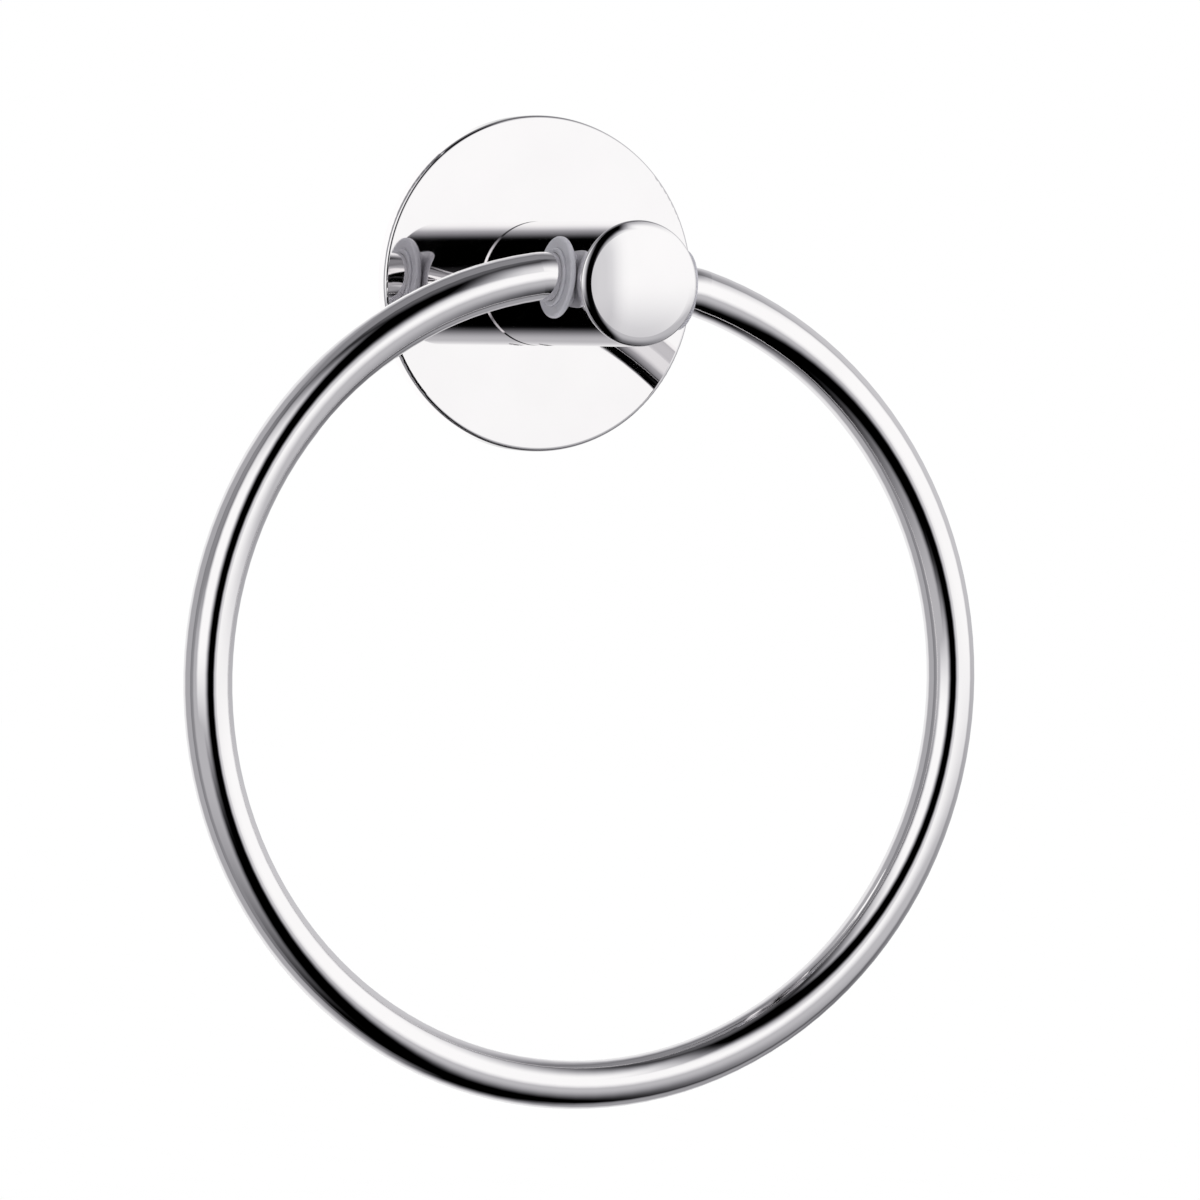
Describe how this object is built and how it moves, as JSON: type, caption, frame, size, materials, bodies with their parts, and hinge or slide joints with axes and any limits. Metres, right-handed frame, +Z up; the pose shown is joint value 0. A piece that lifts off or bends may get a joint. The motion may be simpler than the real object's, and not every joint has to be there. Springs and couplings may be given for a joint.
{
  "type": "towel ring",
  "caption": "Wall-mounted towel ring: a round bar bent to a ring that swings in plastic bushes through a round post with a gently crowned end on a thin round wall plate.",
  "frame": {"origin": "where the post's axis meets the wall, on the flat rear face of the bracket", "axes": "+Y into the wall along the post's axis, +Z up, +X along the ring's swing axis, to the right for someone who faces the wall"},
  "size_m": [0.16, 0.0505, 0.1856],
  "materials": {
    "chrome": "mirror polished chrome plate",
    "bush_plastic": "milky grey translucent nylon, moulded",
    "bracket_steel": "satin zinc plate",
    "screw_steel": "plain stainless steel"
  },
  "bodies": {
    "holder": {"wall_plate": "chrome", "wall_bracket": "bracket_steel", "post": "chrome", "grub_screw": "screw_steel", "bush_left": "bush_plastic", "bush_right": "bush_plastic"},
    "ring": {"ring": "chrome"}
  },
  "joints": [
    {"name": "ring_swing", "type": "hinge", "parent": "holder", "child": "ring", "pos_m": [0, -0.0395, 0], "axis": [-1, 0, 0], "range_deg": [-13.5, 193.5]}
  ]
}
